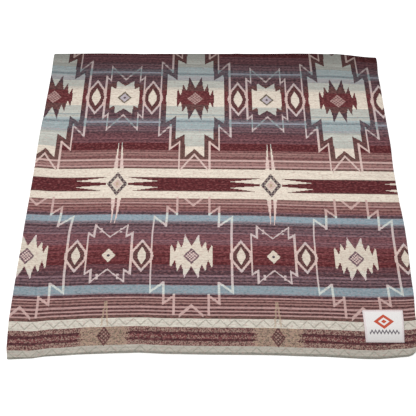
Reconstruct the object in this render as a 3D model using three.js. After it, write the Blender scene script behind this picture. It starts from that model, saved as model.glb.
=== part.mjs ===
// A folded blanket: one woven cloth, folded in half along its length and then twice across,
// with a woven label sewn on near one corner. Millimetres, +X to the right, +Y away, +Z up.
// The origin is on the floor, at the middle of the folded stack.
import * as THREE from "three";

// The cloth as it was cut.
const clothLength = 2240;
const plyThickness = 3;

// How the layers lie. A pair is the two plies made by the lengthwise fold.
const plyGap = 0.8;
const legGap = 2;
const hemLineY = -411.7;
const stackDepth = 830.5;
const hiddenFoldBack = 75;

// What the layers rest on shapes the top one: it runs down to the floor at the near hem,
// and sinks a little past the end of the lowest leg.
const rampStart = -5;
const rampEnd = 82;
const rampShare = 0.6; // a soft step of height h over a run r is about 0.6 h h / r longer than r
const farSag = 5;
const farSagLead = 4;

// The far right corner is drawn in and hangs lower, from one x to another.
const cornerSag = 3.2;
const cornerPull = 11;
const cornerPullFrom = 0.8; // share of the top leg's length
const cornerFrom = 305;
const cornerTo = 430;

// The near right corner is rounded.
const cornerRoundDepth = 5;
const cornerRoundReach = 11;

// The sewn label.
const labelThickness = 0.6;
const labelLift = 0.5;
const labelCorners = {
  nearLeft: { x: 307.5, y: 25.5 },
  nearRight: { x: 386.5, y: 25 },
  farLeft: { x: 304.5, y: 90.5 },
  farRight: { x: 389, y: 90.5 },
};
const labelSteps = { across: 6, along: 12 };

const clothColor = 0x7d4248;
const labelColor = 0xe9e6e0;

// Side edges of the folded stack. place counts the legs along the cloth: 0 is the near hem,
// 1 the far fold, 2 where the middle leg starts back, 3 the hidden near fold, 5 the other hem.
const sideEdges = [
  { place: 0, left: -422.5, right: 411.5 },
  { place: 0.03, left: -426, right: 412 },
  { place: 0.09, left: -426, right: 414 },
  { place: 0.17, left: -426.2, right: 418.5 },
  { place: 0.35, left: -425.5, right: 423 },
  { place: 0.53, left: -424.7, right: 419.5 },
  { place: 0.66, left: -425.5, right: 422.5 },
  { place: 0.78, left: -422.8, right: 421 },
  { place: 0.9, left: -421, right: 421 },
  { place: 1, left: -423.3, right: 426.2 },
  { place: 2, left: -421, right: 424 },
  { place: 2.5, left: -417, right: 419 },
  { place: 3, left: -420, right: 416.5 },
  { place: 4, left: -421.5, right: 418 },
  { place: 4.5, left: -418.5, right: 422 },
  { place: 5, left: -420, right: 419 },
];

// How much further back the near hem lies, across the width.
const hemBow = [
  { x: -425, shift: -7.7 },
  { x: -385, shift: -6.2 },
  { x: -330, shift: -0.2 },
  { x: -250, shift: 3.8 },
  { x: -155, shift: 6.3 },
  { x: -90, shift: 3.5 },
  { x: 0, shift: 2.2 },
  { x: 100, shift: 1.5 },
  { x: 195, shift: -1.3 },
  { x: 325, shift: -7 },
  { x: 390, shift: -3 },
  { x: 425, shift: 2.2 },
];
const bowFade = 150;
const lowerPlyShort = 4;

// Soft ridges of the top layer: where each is highest, which way it runs and its size.
const ridges = [
  { x: -330, y: 640, turn: 80, length: 330, width: 60, height: 1.4 },
  { x: -120, y: 300, turn: 12, length: 520, width: 90, height: 1.1 },
  { x: 90, y: 560, turn: 155, length: 460, width: 80, height: 1.2 },
  { x: 300, y: 330, turn: 70, length: 420, width: 75, height: 1.3 },
  { x: 210, y: 730, turn: 85, length: 260, width: 45, height: 0.9 },
  { x: -240, y: 120, turn: 95, length: 200, width: 50, height: 0.8 },
];

// The ridges start where the ramp ends, and reach their full height this much further back.
const ridgeFade = 120;

// How finely each leg or fold is stepped.
const stretches = [
  { from: 0, to: 0.1, steps: 12 },
  { from: 0.1, to: 0.9, steps: 13 },
  { from: 0.9, to: 1, steps: 5 },
  { from: 1, to: 2, steps: 6 },
  { from: 2, to: 2.1, steps: 4 },
  { from: 2.1, to: 3, steps: 9 },
  { from: 3, to: 4, steps: 6 },
  { from: 4, to: 5, steps: 9 },
];
const stepsAcross = 18;
const stepsRound = 6;

// How far apart the points are that a slope is worked out from.
const slopeStep = 0.5;
const placeStep = 1e-4;

const pairHalf = plyThickness + plyGap / 2;
const pitch = 2 * pairHalf + legGap;
const bendRadius = pitch / 2;
const farBendY = stackDepth - bendRadius - pairHalf;

// The far end of the lowest leg follows from the length of the cloth.
const rampExtra = (rampShare * (2 * pitch) ** 2) / (rampEnd - rampStart);
const topLegLength = farBendY + rampExtra;
const bendLength = Math.PI * bendRadius;
const middleLegLength = farBendY - hiddenFoldBack;
const lowLegEnd = hiddenFoldBack + clothLength - topLegLength - middleLegLength - 2 * bendLength;

// A soft step from 0 to 1 between two values.
function softStep(value, from, to) {
  const t = Math.min(1, Math.max(0, (value - from) / (to - from)));
  return t * t * (3 - 2 * t);
}

// A column of a table, eased between its rows.
function eased(table, key, at, column) {
  let row = 0;
  while (row < table.length - 2 && table[row + 1][key] < at) row += 1;
  const before = table[row];
  const after = table[row + 1];
  const t = softStep(at, before[key], after[key]);
  return before[column] + (after[column] - before[column]) * t;
}

// The ridges' height together, each a bell across and along its own line.
function ridgeHeight(x, y) {
  let height = 0;
  for (const ridge of ridges) {
    const turn = THREE.MathUtils.degToRad(ridge.turn);
    const along = (x - ridge.x) * Math.cos(turn) + (y - ridge.y) * Math.sin(turn);
    const across = (y - ridge.y) * Math.cos(turn) - (x - ridge.x) * Math.sin(turn);
    height += ridge.height * Math.exp(-((along / ridge.length) ** 2) - (across / ridge.width) ** 2);
  }
  return height * softStep(y, rampEnd, rampEnd + ridgeFade);
}

// How far the far right corner is drawn in, from 0 to 1.
function cornerShare(x) {
  return softStep(x, cornerFrom, cornerTo);
}

// How far the layers past the lowest leg's end sink.
function sag(x, y) {
  return (farSag + cornerSag * cornerShare(x)) * softStep(y, lowLegEnd + farSagLead, farBendY);
}

// Middle heights of each pair over the floor.
function topHeight(x, y) {
  const stacked = 2 * pitch * softStep(y, rampStart, rampEnd);
  return pairHalf + stacked - sag(x, y) + ridgeHeight(x, y);
}

function middleHeight(x, y) {
  return pairHalf + pitch - sag(x, y);
}

// A point of the middle surface of the pair, at a place along the legs, with y from the hem line.
function middlePoint(place, x) {
  const leg = Math.min(4, Math.floor(place));
  const t = place - leg;
  const farY = farBendY - cornerPull * cornerShare(x);
  if (leg === 0) {
    const flatY = farBendY * t;
    const bow = eased(hemBow, "x", x, "shift") * Math.exp(-flatY / bowFade) * (1 - t);
    const y = flatY + bow - cornerPull * cornerShare(x) * softStep(t, cornerPullFrom, 1);
    return { y, z: topHeight(x, y) };
  }
  if (leg === 1) {
    const high = topHeight(x, farY);
    const low = middleHeight(x, farY);
    const radius = (high - low) / 2;
    const angle = Math.PI * t;
    return { y: farY + radius * Math.sin(angle), z: (high + low) / 2 + radius * Math.cos(angle) };
  }
  if (leg === 2) {
    const y = farY + (hiddenFoldBack - farY) * t;
    return { y, z: middleHeight(x, y) };
  }
  if (leg === 3) {
    const angle = Math.PI * t;
    return {
      y: hiddenFoldBack - bendRadius * Math.sin(angle),
      z: pairHalf + bendRadius + bendRadius * Math.cos(angle),
    };
  }
  return { y: hiddenFoldBack + (lowLegEnd - hiddenFoldBack) * t, z: pairHalf };
}

// The direction that the upper face of the pair looks, in Y and Z.
function facing(place, x) {
  const before = middlePoint(Math.max(0, place - placeStep), x);
  const after = middlePoint(Math.min(5, place + placeStep), x);
  const length = Math.hypot(after.y - before.y, after.z - before.z);
  return { y: -(after.z - before.z) / length, z: (after.y - before.y) / length };
}

// A point of the cloth, a distance out from the pair's middle surface.
function clothPoint(place, x, out) {
  const middle = middlePoint(place, x);
  const face = facing(place, x);
  return new THREE.Vector3(x, hemLineY + middle.y + face.y * out, middle.z + face.z * out);
}

// The near right corner is rounded: a cloth point there moves in from both edges.
function roundCorner(point, right) {
  const fromSide = Math.max(0, right - point.x);
  const fromHem = Math.max(0, point.y - hemLineY);
  const share = Math.exp(-(fromSide + fromHem) / cornerRoundReach);
  point.x -= cornerRoundDepth * share;
  point.y += cornerRoundDepth * share;
  return point;
}

// The section across a pair, as one closed line: the outside from the upper side edge round
// the lengthwise fold to the lower side edge, and the inside back again.
function section(place) {
  const left = eased(sideEdges, "place", place, "left");
  const right = eased(sideEdges, "place", place, "right");
  const foldX = left + pairHalf;
  const line = [];
  const run = (edge, out, outwards) => {
    for (let k = 0; k <= stepsAcross; k += 1) {
      const share = (1 - Math.cos((Math.PI * k) / stepsAcross)) / 2;
      const x = foldX + (edge - foldX) * (outwards ? share : 1 - share);
      line.push({ x, out });
    }
  };
  const round = (radius, from, to) => {
    for (let k = 1; k < stepsRound; k += 1) {
      const angle = from + ((to - from) * k) / stepsRound;
      line.push({ x: foldX - radius * Math.sin(angle), out: radius * Math.cos(angle) });
    }
  };
  run(right, pairHalf, false);
  round(pairHalf, 0, Math.PI);
  run(right - lowerPlyShort, -pairHalf, true);
  run(right - lowerPlyShort, -plyGap / 2, false);
  round(plyGap / 2, Math.PI, 0);
  run(right, plyGap / 2, true);
  return { line, right };
}

// The places along the cloth where a section stands.
function places() {
  const list = [0];
  for (const { from, to, steps } of stretches) {
    for (let k = 1; k <= steps; k += 1) list.push(from + ((to - from) * k) / steps);
  }
  return list;
}

// A closed skin from rings of points, each joined to the next, with a flat cap of quads at each end.
function ringsToGeometry(rings, capPairs) {
  const count = rings[0].length;
  const positions = rings.flat().flatMap((point) => [point.x, point.y, point.z]);
  const index = [];
  for (let ring = 0; ring + 1 < rings.length; ring += 1) {
    for (let k = 0; k < count; k += 1) {
      const a = ring * count + k;
      const b = ring * count + ((k + 1) % count);
      index.push(a, a + count, b, b, a + count, b + count);
    }
  }
  const last = (rings.length - 1) * count;
  for (const [outer, inner, outerNext, innerNext] of capPairs) {
    index.push(outer, outerNext, inner, outerNext, innerNext, inner);
    index.push(last + outer, last + inner, last + outerNext, last + outerNext, last + inner, last + innerNext);
  }
  const geometry = new THREE.BufferGeometry();
  geometry.setAttribute("position", new THREE.Float32BufferAttribute(positions, 3));
  geometry.setIndex(index);
  geometry.computeVertexNormals();
  return geometry;
}

// Each cap joins a point of the outside to its partner on the inside.
function capQuads(count) {
  const quads = [];
  for (let k = 0; k < count / 2 - 1; k += 1) quads.push([k, count - 1 - k, k + 1, count - 2 - k]);
  return quads;
}

function makeCloth() {
  const rings = places().map((place) => {
    const { line, right } = section(place);
    return line.map(({ x, out }) => {
      const point = clothPoint(place, x, out);
      return place <= 1 ? roundCorner(point, right) : point;
    });
  });
  const geometry = ringsToGeometry(rings, capQuads(rings[0].length));
  const material = new THREE.MeshStandardMaterial({ color: clothColor, roughness: 0.95, metalness: 0 });
  const mesh = new THREE.Mesh(geometry, material);
  mesh.name = "blanket_cloth";
  return mesh;
}

// The label is a thin slab over the upper face, sewn flat, so it bends down with the ramp.
function makeLabel() {
  const { nearLeft, nearRight, farLeft, farRight } = labelCorners;
  const { lerp } = THREE.MathUtils;
  const between = (key, s, t) => lerp(lerp(nearLeft[key], nearRight[key], s), lerp(farLeft[key], farRight[key], s), t);
  const at = (i, j, lift) => {
    const s = i / labelSteps.across;
    const t = j / labelSteps.along;
    const x = between("x", s, t);
    const y = between("y", s, t);
    const slope = (topHeight(x, y + slopeStep) - topHeight(x, y - slopeStep)) / (2 * slopeStep);
    const out = pairHalf + labelLift + lift;
    const length = Math.hypot(1, slope);
    return new THREE.Vector3(x, hemLineY + y - (slope * out) / length, topHeight(x, y) + out / length);
  };
  const rings = [];
  for (let j = 0; j <= labelSteps.along; j += 1) {
    const ring = [];
    for (let i = labelSteps.across; i >= 0; i -= 1) ring.push(at(i, j, labelThickness));
    for (let i = 0; i <= labelSteps.across; i += 1) ring.push(at(i, j, 0));
    rings.push(ring);
  }
  const geometry = ringsToGeometry(rings, capQuads(rings[0].length));
  const material = new THREE.MeshStandardMaterial({ color: labelColor, roughness: 0.8, metalness: 0 });
  const mesh = new THREE.Mesh(geometry, material);
  mesh.name = "sewn_label";
  return mesh;
}

const blanket = new THREE.Group();
blanket.add(makeCloth(), makeLabel());

export default blanket;
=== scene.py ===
# A folded woven blanket with stripes, stars and stepped outlines, and the label sewn on it.
# Metres; X to the right, Y away from the near hem, Z up. The origin is under the stack's middle.
import math
from types import SimpleNamespace
import bpy
import numpy as np
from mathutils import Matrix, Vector


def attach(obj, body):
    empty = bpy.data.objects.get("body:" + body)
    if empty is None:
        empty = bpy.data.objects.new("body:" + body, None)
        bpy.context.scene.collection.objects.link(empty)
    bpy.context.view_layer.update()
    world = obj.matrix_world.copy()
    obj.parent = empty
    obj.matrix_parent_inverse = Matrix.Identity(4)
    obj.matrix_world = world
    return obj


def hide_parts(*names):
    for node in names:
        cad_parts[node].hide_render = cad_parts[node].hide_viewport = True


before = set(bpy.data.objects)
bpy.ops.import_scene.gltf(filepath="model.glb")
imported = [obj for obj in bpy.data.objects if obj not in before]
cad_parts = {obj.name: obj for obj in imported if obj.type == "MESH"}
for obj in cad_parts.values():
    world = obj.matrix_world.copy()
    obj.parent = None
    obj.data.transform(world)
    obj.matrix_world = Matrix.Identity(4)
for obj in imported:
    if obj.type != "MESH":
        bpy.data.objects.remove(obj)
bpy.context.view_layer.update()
print("frame loaded")

view = {
    "lens": 61.18,  # millimetres, on a sensor 36 wide
    "place": (-0.0065, -0.9258, 1.3777),
    "tiltDown": 57.7,  # degrees under the horizon
    "shift": -0.0096,
}


def makeCamera():
    # Stands over the near hem and looks away and down.
    camera = bpy.data.objects.new("viewCamera", bpy.data.cameras.new("viewCamera"))
    bpy.context.scene.collection.objects.link(camera)
    camera.location = view["place"]
    camera.rotation_euler = (math.radians(90 - view["tiltDown"]), 0, 0)
    camera.data.lens = view["lens"]
    camera.data.sensor_width = 36
    camera.data.shift_x = view["shift"]
    bpy.context.scene.camera = camera


makeCamera()
print("camera placed")

# The yarns, as they look in even daylight.
yarns = {
    "cream": (222, 211, 196),
    "oat": (208, 202, 190),
    "hemGrey": (148, 147, 137),
    "hemOat": (183, 178, 167),
    "sage": (146, 144, 131),
    "speckleLight": (162, 136, 124),
    "speckleDark": (108, 72, 70),
    "umber": (104, 76, 70),
    "umberDark": (92, 61, 60),
    "brickDark": (92, 56, 56),
    "jagged": (84, 50, 53),
    "tan": (186, 164, 140),
    "olive": (116, 108, 92),
    "blush": (184, 150, 146),
    "palePink": (202, 172, 166),
    "rose": (160, 124, 119),
    "clay": (142, 102, 100),
    "brick": (117, 76, 75),
    "roseDark": (132, 98, 94),
    "russet": (86, 58, 62),
    "burgundy": (90, 36, 40),
    "wine": (102, 47, 50),
    "wineLight": (112, 58, 62),
    "maroon": (97, 62, 68),
    "mauve": (126, 92, 99),
    "plumRed": (115, 76, 82),
    "plum": (101, 76, 83),
    "plumLight": (116, 94, 101),
    "plumDark": (78, 60, 66),
    "plumPale": (132, 106, 114),
    "aubergine": (84, 60, 66),
    "charcoal": (82, 66, 72),
    "slate": (109, 103, 110),
    "slateDark": (90, 84, 91),
    "slatePale": (143, 149, 160),
    "fog": (134, 132, 140),
    "blue": (139, 156, 164),
    "blueHigh": (142, 160, 170),
    "paleRose": (216, 192, 184),
    "paleLine": (202, 208, 202),
    "iceBlue": (153, 167, 169),
    "iceLight": (167, 180, 181),
    "haze": (172, 173, 175),
    "teal": (126, 140, 145),
    "mist": (186, 188, 180),
    "mauvePale": (206, 190, 188),
    "cocoa": (97, 66, 64),
    "lilac": (186, 178, 184),
    "ink": (84, 78, 86),
    "inkDark": (66, 54, 62),
    "stoneCream": (213, 202, 187),
    "ribbonWhite": (235, 232, 230),
    "ribbonEdge": (226, 206, 208),
    "rust": (196, 82, 58),
    "brushed": (160, 108, 106),
    "shade": (54, 34, 36),
}

# Stripes from the near hem to the middle of the crosses: where each starts, in millimetres.
groundStripes = (
    (0, "hemGrey"), (5.5, "hemOat"), (19, "speckleDark"), (56, "oat"), (73.5, "umber"),
    (79.5, "blush"), (83.6, "umberDark"), (87.8, "blush"), (91.8, "umberDark"), (96.5, "blush"),
    (100.8, "umberDark"), (104.8, "rose"), (108, "umberDark"), (112, "rose"), (115, "brickDark"),
    (118, "blush"), (122, "russet"), (127.5, "fog"), (131, "blue"), (148, "fog"),
    (149.5, "plumDark"), (154, "plumLight"), (158, "plumDark"), (161.5, "plumLight"),
    (165.5, "plumDark"), (169.5, "plumPale"), (174, "aubergine"), (182, "plum"), (186, "maroon"),
    (192, "plumRed"), (195, "maroon"),
    (200, "burgundy"), (206, "wine"), (213, "wineLight"), (216, "wine"), (219, "burgundy"),
    (222, "wine"), (228, "wineLight"), (233, "wine"), (237, "wineLight"), (248, "plumRed"),
    (252, "mauve"), (254, "plumRed"), (257, "mauve"), (260, "plumRed"), (276, "plumPale"),
    (279.5, "plum"), (284.5, "plumLight"), (287.5, "plum"), (292, "plumLight"), (296, "plumDark"),
    (300, "plumLight"), (303, "slate"), (307, "fog"), (310, "blueHigh"), (325, "fog"),
    (326.5, "charcoal"), (332, "mauve"), (335, "brick"), (339, "clay"), (341.6, "brick"),
    (346.3, "rose"), (350.3, "brick"), (354.3, "blush"), (358.3, "roseDark"), (361.5, "rose"),
    (364.5, "roseDark"), (369.5, "cream"), (450.4, "umber"), (455.2, "blush"), (460.4, "clay"),
    (463, "rose"), (469, "roseDark"), (473.6, "palePink"), (477.4, "roseDark"), (481, "brick"),
    (485.5, "clay"), (488.5, "rose"), (490.5, "roseDark"), (494.5, "clay"), (496.5, "rose"),
    (498.5, "brick"), (501.3, "clay"), (504, "brick"), (505.5, "burgundy"),
    (525, "plumRed"), (531, "maroon"), (536, "plumRed"), (541, "maroon"), (553, "aubergine"),
    (560, "plumLight"), (563, "mauve"), (565, "plum"), (569, "plumLight"), (572, "plum"),
    (576, "slateDark"), (580, "slate"), (584, "slateDark"), (587, "slatePale"), (590, "fog"),
    (593, "slate"), (598, "slateDark"), (602, "plum"), (606, "plumDark"), (612, "plum"),
    (617, "plumDark"), (621, "plum"), (634, "plumDark"), (637, "plum"), (652, "plumLight"),
    (655, "plum"),
)
# Past the crosses' middle the pale parts change colour elsewhere: counted back from there.
farLightStripes = (
    (0, "mist"), (567, "iceLight"), (587, "iceBlue"), (590, "teal"), (594.5, "iceLight"), (600, "haze"),
    (614, "mist"), (638, "oat"), (645, "cream"),
)
lightStripes = (
    (0, "oat"), (151, "mauvePale"), (178, "oat"), (190, "stoneCream"), (252, "oat"), (264, "mauvePale"),
    (300, "paleRose"), (366, "cream"), (450, "paleRose"), (486, "cream"), (516, "mist"),
    (560.5, "iceBlue"), (564, "haze"), (569.5, "iceBlue"), (588.5, "teal"), (593, "iceBlue"),
    (599, "iceLight"), (605, "mist"), (612, "iceBlue"), (615, "mist"), (642, "cream"),
)
lineStripes = (
    (0, "palePink"), (126, "paleLine"), (151, "mauvePale"), (190, "paleRose"), (252, "mauvePale"),
    (304, "paleLine"), (330, "palePink"), (450, "paleRose"), (540, "mauvePale"), (574, "iceBlue"),
    (600, "mauvePale"), (640, "paleRose"),
)
darkStripes = (
    (0, "jagged"), (128, "charcoal"), (176, "umberDark"), (268, "charcoal"), (330, "umber"),
    (389, "burgundy"), (430, "umber"), (505, "cocoa"), (556, "plumDark"), (570, "slateDark"),
    (606, "plumDark"), (628, "cocoa"), (648, "wine"),
)


def linear(name):
    # A yarn's colour as light: ((c + 0.055) / 1.055) ^ 2.4 for each part.
    parts = [(part / 255 + 0.055) / 1.055 for part in yarns[name]]
    return [part**2.4 for part in parts] + [1]


def nodeKit(tree):
    # Makers of nodes for one tree. Each takes sockets or plain values and gives a socket.
    def put(socket, value):
        if isinstance(value, bpy.types.NodeSocket):
            tree.links.new(value, socket)
        else:
            socket.default_value = value

    def calc(operation, *values):
        node = tree.nodes.new("ShaderNodeMath")
        node.operation = operation
        for socket, value in zip(node.inputs, values):
            put(socket, value)
        return node.outputs[0]

    def span(value, low, high):
        return calc("COMPARE", value, (low + high) / 2, (high - low) / 2)

    def both(first, *others):
        for other in others:
            first = calc("MULTIPLY", first, other)
        return first

    def either(first, *others):
        for other in others:
            first = calc("MAXIMUM", first, other)
        return first

    def without(mask, hole):
        return calc("MULTIPLY", mask, calc("SUBTRACT", 1.0, hole))

    def under(value, limit):
        return calc("LESS_THAN", value, limit)

    def over(value, limit):
        return calc("GREATER_THAN", value, limit)

    def away(value, place):
        return calc("ABSOLUTE", calc("SUBTRACT", value, place))

    def sloped(value, slope, start):
        return calc("MULTIPLY_ADD", value, slope, start)

    def heights(value, rows, reach=200):
        # Straight lines through rows of (at, height), 0 past the last row.
        node = tree.nodes.new("ShaderNodeFloatCurve")
        line = node.mapping.curves[0]
        rows = list(rows) + [(rows[-1][0] + 0.4, 0), (reach, 0)]
        while len(line.points) < len(rows):
            line.points.new(1, 0)
        for point, (at, height) in zip(line.points, rows):
            point.location = (at / reach, height / reach)
            point.handle_type = "VECTOR"
        node.mapping.update()
        put(node.inputs["Value"], calc("MULTIPLY", value, 1 / reach))
        return calc("MULTIPLY", node.outputs[0], reach)

    def diamond(across, along, wide, tall):
        # 1 where across / wide + along / tall is under 1.
        return under(sloped(across, 1 / wide, calc("MULTIPLY", along, 1 / tall)), 1.0)

    def ringed(across, along, outer, inner):
        # A diamond, and the rim that a smaller one leaves of it.
        whole = diamond(across, along, *outer)
        return whole, without(whole, diamond(across, along, *inner))

    def hatch(first, second, step, thick):
        # Lines both ways along the diagonals.
        sums = calc("ADD", first, second), calc("SUBTRACT", first, second)
        return either(*[under(calc("PINGPONG", one, step), thick) for one in sums])

    def stroke(across, along, lines, wide, beads=1.0):
        # Straight strokes through each line's points. A slope's height is wide * sqrt(1 + slope^2),
        # and beads is the share of it that shows from place to place.
        masks = []
        for points in lines:
            for (a0, d0), (a1, d1) in zip(points, points[1:]):
                if a0 == a1:
                    upright = span(across, a0 - wide / 2, a0 + wide / 2)
                    mask = both(upright, span(along, min(d0, d1), max(d0, d1)))
                else:
                    slope = (d1 - d0) / (a1 - a0)
                    height = sloped(across, slope, d0 - slope * a0)
                    reach = wide / 2 * math.hypot(1, slope)
                    mask = both(
                        calc("COMPARE", along, height, reach),
                        span(across, min(a0, a1) - wide / 2, max(a0, a1) + wide / 2),
                        beads,
                    )
                masks.append(mask)
        return either(*masks)

    def stripes(value, chart):
        # The colour of the stripe that value lies in; each ramp holds up to rampRows stripes.
        rampRows = 30
        colour = None
        for first in range(0, len(chart), rampRows):
            rows = chart[first : first + rampRows]
            low, high = rows[0][0], rows[-1][0] + 1
            node = tree.nodes.new("ShaderNodeValToRGB")
            node.color_ramp.interpolation = "CONSTANT"
            marks = node.color_ramp.elements
            while len(marks) < len(rows):
                marks.new(1)
            for mark, (start, name) in zip(marks, rows):
                mark.position = (start - low) / (high - low)
                mark.color = linear(name)
            put(node.inputs[0], calc("MULTIPLY_ADD", value, 1 / (high - low), -low / (high - low)))
            if colour is None:
                colour = node.outputs[0]
            else:
                colour = blend(calc("GREATER_THAN", value, low), colour, node.outputs[0])
        return colour

    def blend(share, below, above, kind="MIX"):
        node = tree.nodes.new("ShaderNodeMix")
        node.data_type = "RGBA"
        node.blend_type = kind
        node.clamp_factor = True
        put(node.inputs[0], share)
        put(node.inputs[6], below)
        put(node.inputs[7], above)
        return node.outputs[2]

    def dye(colour, mask, yarn, share=1):
        # A yarn, by its name or from a socket, laid over the colour by mask * share.
        above = linear(yarn) if isinstance(yarn, str) else yarn
        return blend(mask if share == 1 else calc("MULTIPLY", mask, share), colour, above)

    def toned(colour, tone, share=1.0):
        return blend(share, colour, vector(tone, tone, tone), "MULTIPLY")

    def vector(x, y, z=0.0):
        node = tree.nodes.new("ShaderNodeCombineXYZ")
        for socket, value in zip(node.inputs, (x, y, z)):
            put(socket, value)
        return node.outputs[0]

    def noise(place, scale, detail=2.0, rough=0.5):
        node = tree.nodes.new("ShaderNodeTexNoise")
        put(node.inputs["Vector"], place)
        put(node.inputs["Scale"], scale)
        put(node.inputs["Detail"], detail)
        put(node.inputs["Roughness"], rough)
        return node.outputs[0]

    def random(place):
        node = tree.nodes.new("ShaderNodeTexWhiteNoise")
        put(node.inputs["Vector"], place)
        return node.outputs[0]

    def clamped(value):
        return calc("MINIMUM", calc("MAXIMUM", value, 0.0), 1.0)

    def darkness(colour):
        # 1.25 - 2.2 * brightness: 1 for a dark yarn, 0 for a pale one.
        node = tree.nodes.new("ShaderNodeRGBToBW")
        put(node.inputs[0], colour)
        return clamped(sloped(node.outputs[0], -2.2, 1.25))

    makers = (put, calc, span, both, either, without, under, over, away, sloped, heights, diamond,
              ringed, hatch, stroke, stripes, blend, dye, toned, vector, noise, random, clamped, darkness)
    return SimpleNamespace(**{maker.__name__: maker for maker in makers})


def newGroup(name, inputs, outputs):
    # A shader node group with named sockets.
    group = bpy.data.node_groups.new(name, "ShaderNodeTree")
    for label, kind in inputs:
        group.interface.new_socket(name=label, in_out="INPUT", socket_type="NodeSocket" + kind)
    for label, kind in outputs:
        group.interface.new_socket(name=label, in_out="OUTPUT", socket_type="NodeSocket" + kind)
    return group, group.nodes.new("NodeGroupInput"), group.nodes.new("NodeGroupOutput")


# The pattern's places, in millimetres: across from a star's axis, along from the near hem.
motifs = {
    "repeat": 357,
    "starAxis": -49,  # X of a star's middle on the upper face
    "ovalAxis": 107.5,
    "cell": (1.7, 1.6),  # one stitch of the weave, across and along
    "shake": 0.9,  # how far a stitch's sides stray
    "shakeScale": 0.35,
    "rows": {"border": 37.5, "star": 221, "outline": 227, "band": 408, "cross": 669.5},
    "farShift": 5,  # the stripes past the crosses lie this much further from them
    "lengthMiddle": 1119.5,
    "rowStep": 2.6,
    "rowContrast": 0.36,
    "unevenRows": (178, 276),  # the rows differ in tone here and past unevenPast
    "unevenPast": 525,
    "paleRows": (540, 625),  # here the pale yarns differ too, by paleShare of it
    "paleShare": 0.7,
    "lineShare": 0.92,
}


def clothPlaces(kit, given):
    # Where a point lies in the pattern. Each stitch has one colour, so across and along go in steps
    # of a stitch. a runs from a star's axis, b from the axis between two stars, and v is along
    # after its mirrors, each at - |along - at|. The rows' names hold the distance from each row.
    calc = kit.calc
    cellWide, cellTall = motifs["cell"]
    rawAcross = calc("MULTIPLY", given.outputs["Across"], 1000)
    rawAlong = calc("MULTIPLY", given.outputs["Along"], 1000)
    shake = kit.noise(kit.vector(rawAcross, rawAlong), motifs["shakeScale"])
    shaken = kit.sloped(shake, motifs["shake"], rawAcross)
    across = calc("ADD", calc("SNAP", shaken, cellWide), cellWide / 2)
    along = calc("ADD", calc("SNAP", rawAlong, cellTall), cellTall / 2)
    halfRepeat = motifs["repeat"] / 2
    a = calc("PINGPONG", calc("SUBTRACT", across, motifs["starAxis"]), halfRepeat)
    v = along
    for mirror in (motifs["lengthMiddle"], motifs["rows"]["cross"]):
        v = calc("SUBTRACT", mirror, kit.away(v, mirror))
    pastCrosses = kit.over(along, motifs["rows"]["cross"])
    return SimpleNamespace(
        rawAcross=rawAcross, rawAlong=rawAlong, along=along, across=across,
        a=a, b=calc("SUBTRACT", halfRepeat, a), v=v,
        oval=kit.away(a, motifs["ovalAxis"]),
        pastCrosses=pastCrosses,
        stripeRow=kit.sloped(pastCrosses, motifs["farShift"], v),
        stitchNoise=kit.random(kit.vector(across, along)),
        **{row: kit.away(v, middle) for row, middle in motifs["rows"].items()},
    )


def stripeYarns(kit, at):
    # The yarns of each stripe. Where the rows differ, a row's tone lies within contrast / 2 of 1.
    contrast = motifs["rowContrast"]
    row = kit.calc("FLOOR", kit.calc("MULTIPLY", at.stripeRow, 1 / motifs["rowStep"]))
    tone = kit.sloped(kit.random(kit.vector(0.0, row, 3.0)), contrast, 1 - contrast / 2)
    ground = kit.stripes(at.stripeRow, groundStripes)
    uneven = kit.either(kit.span(at.v, *motifs["unevenRows"]), kit.over(at.v, motifs["unevenPast"]))
    nearLight = kit.stripes(at.v, lightStripes)
    light = kit.blend(at.pastCrosses, nearLight, kit.stripes(at.stripeRow, farLightStripes))
    unevenLight = kit.toned(light, tone, motifs["paleShare"])
    return SimpleNamespace(
        ground=kit.blend(uneven, ground, kit.toned(ground, tone)),
        light=kit.blend(kit.span(at.v, *motifs["paleRows"]), light, unevenLight),
        dark=kit.stripes(at.stripeRow, darkStripes),
        line=kit.stripes(at.stripeRow, lineStripes),
    )


# Zigzags on both sides of a speckled band, which has jagged lines and a lattice diamond.
border = {
    "half": 18.6,
    "zigzag": {"count": 12, "top": 34.0, "tall": 13, "half": 1.3},
    "paleStitches": 0.48,  # shares of the stitches
    "tanStitches": 0.5,
    "oliveStitches": 0.24,
    "wineStitches": 0.7,
    # Round the diamond lies a tan zone that ends softly, up to zoneStray further out.
    "zoneEdge": 38.0,
    "zoneStray": 16.0,
    "jag": (3.4, 0.5),  # step and slope
    "lines": (7.2, 2.7),  # where, and half their thickness
    "betweenHalf": 5.0,
    "dashes": {"step": 7.0, "gap": 4.4, "start": 18.0},
    "gem": ((15, 20), (11, 15)),
    "gemHatch": (4.2, 1.7),
    "spike": {"slope": -0.1, "start": 14.0, "wide": 3.6, "rows": (58, 112)},
}


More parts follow.
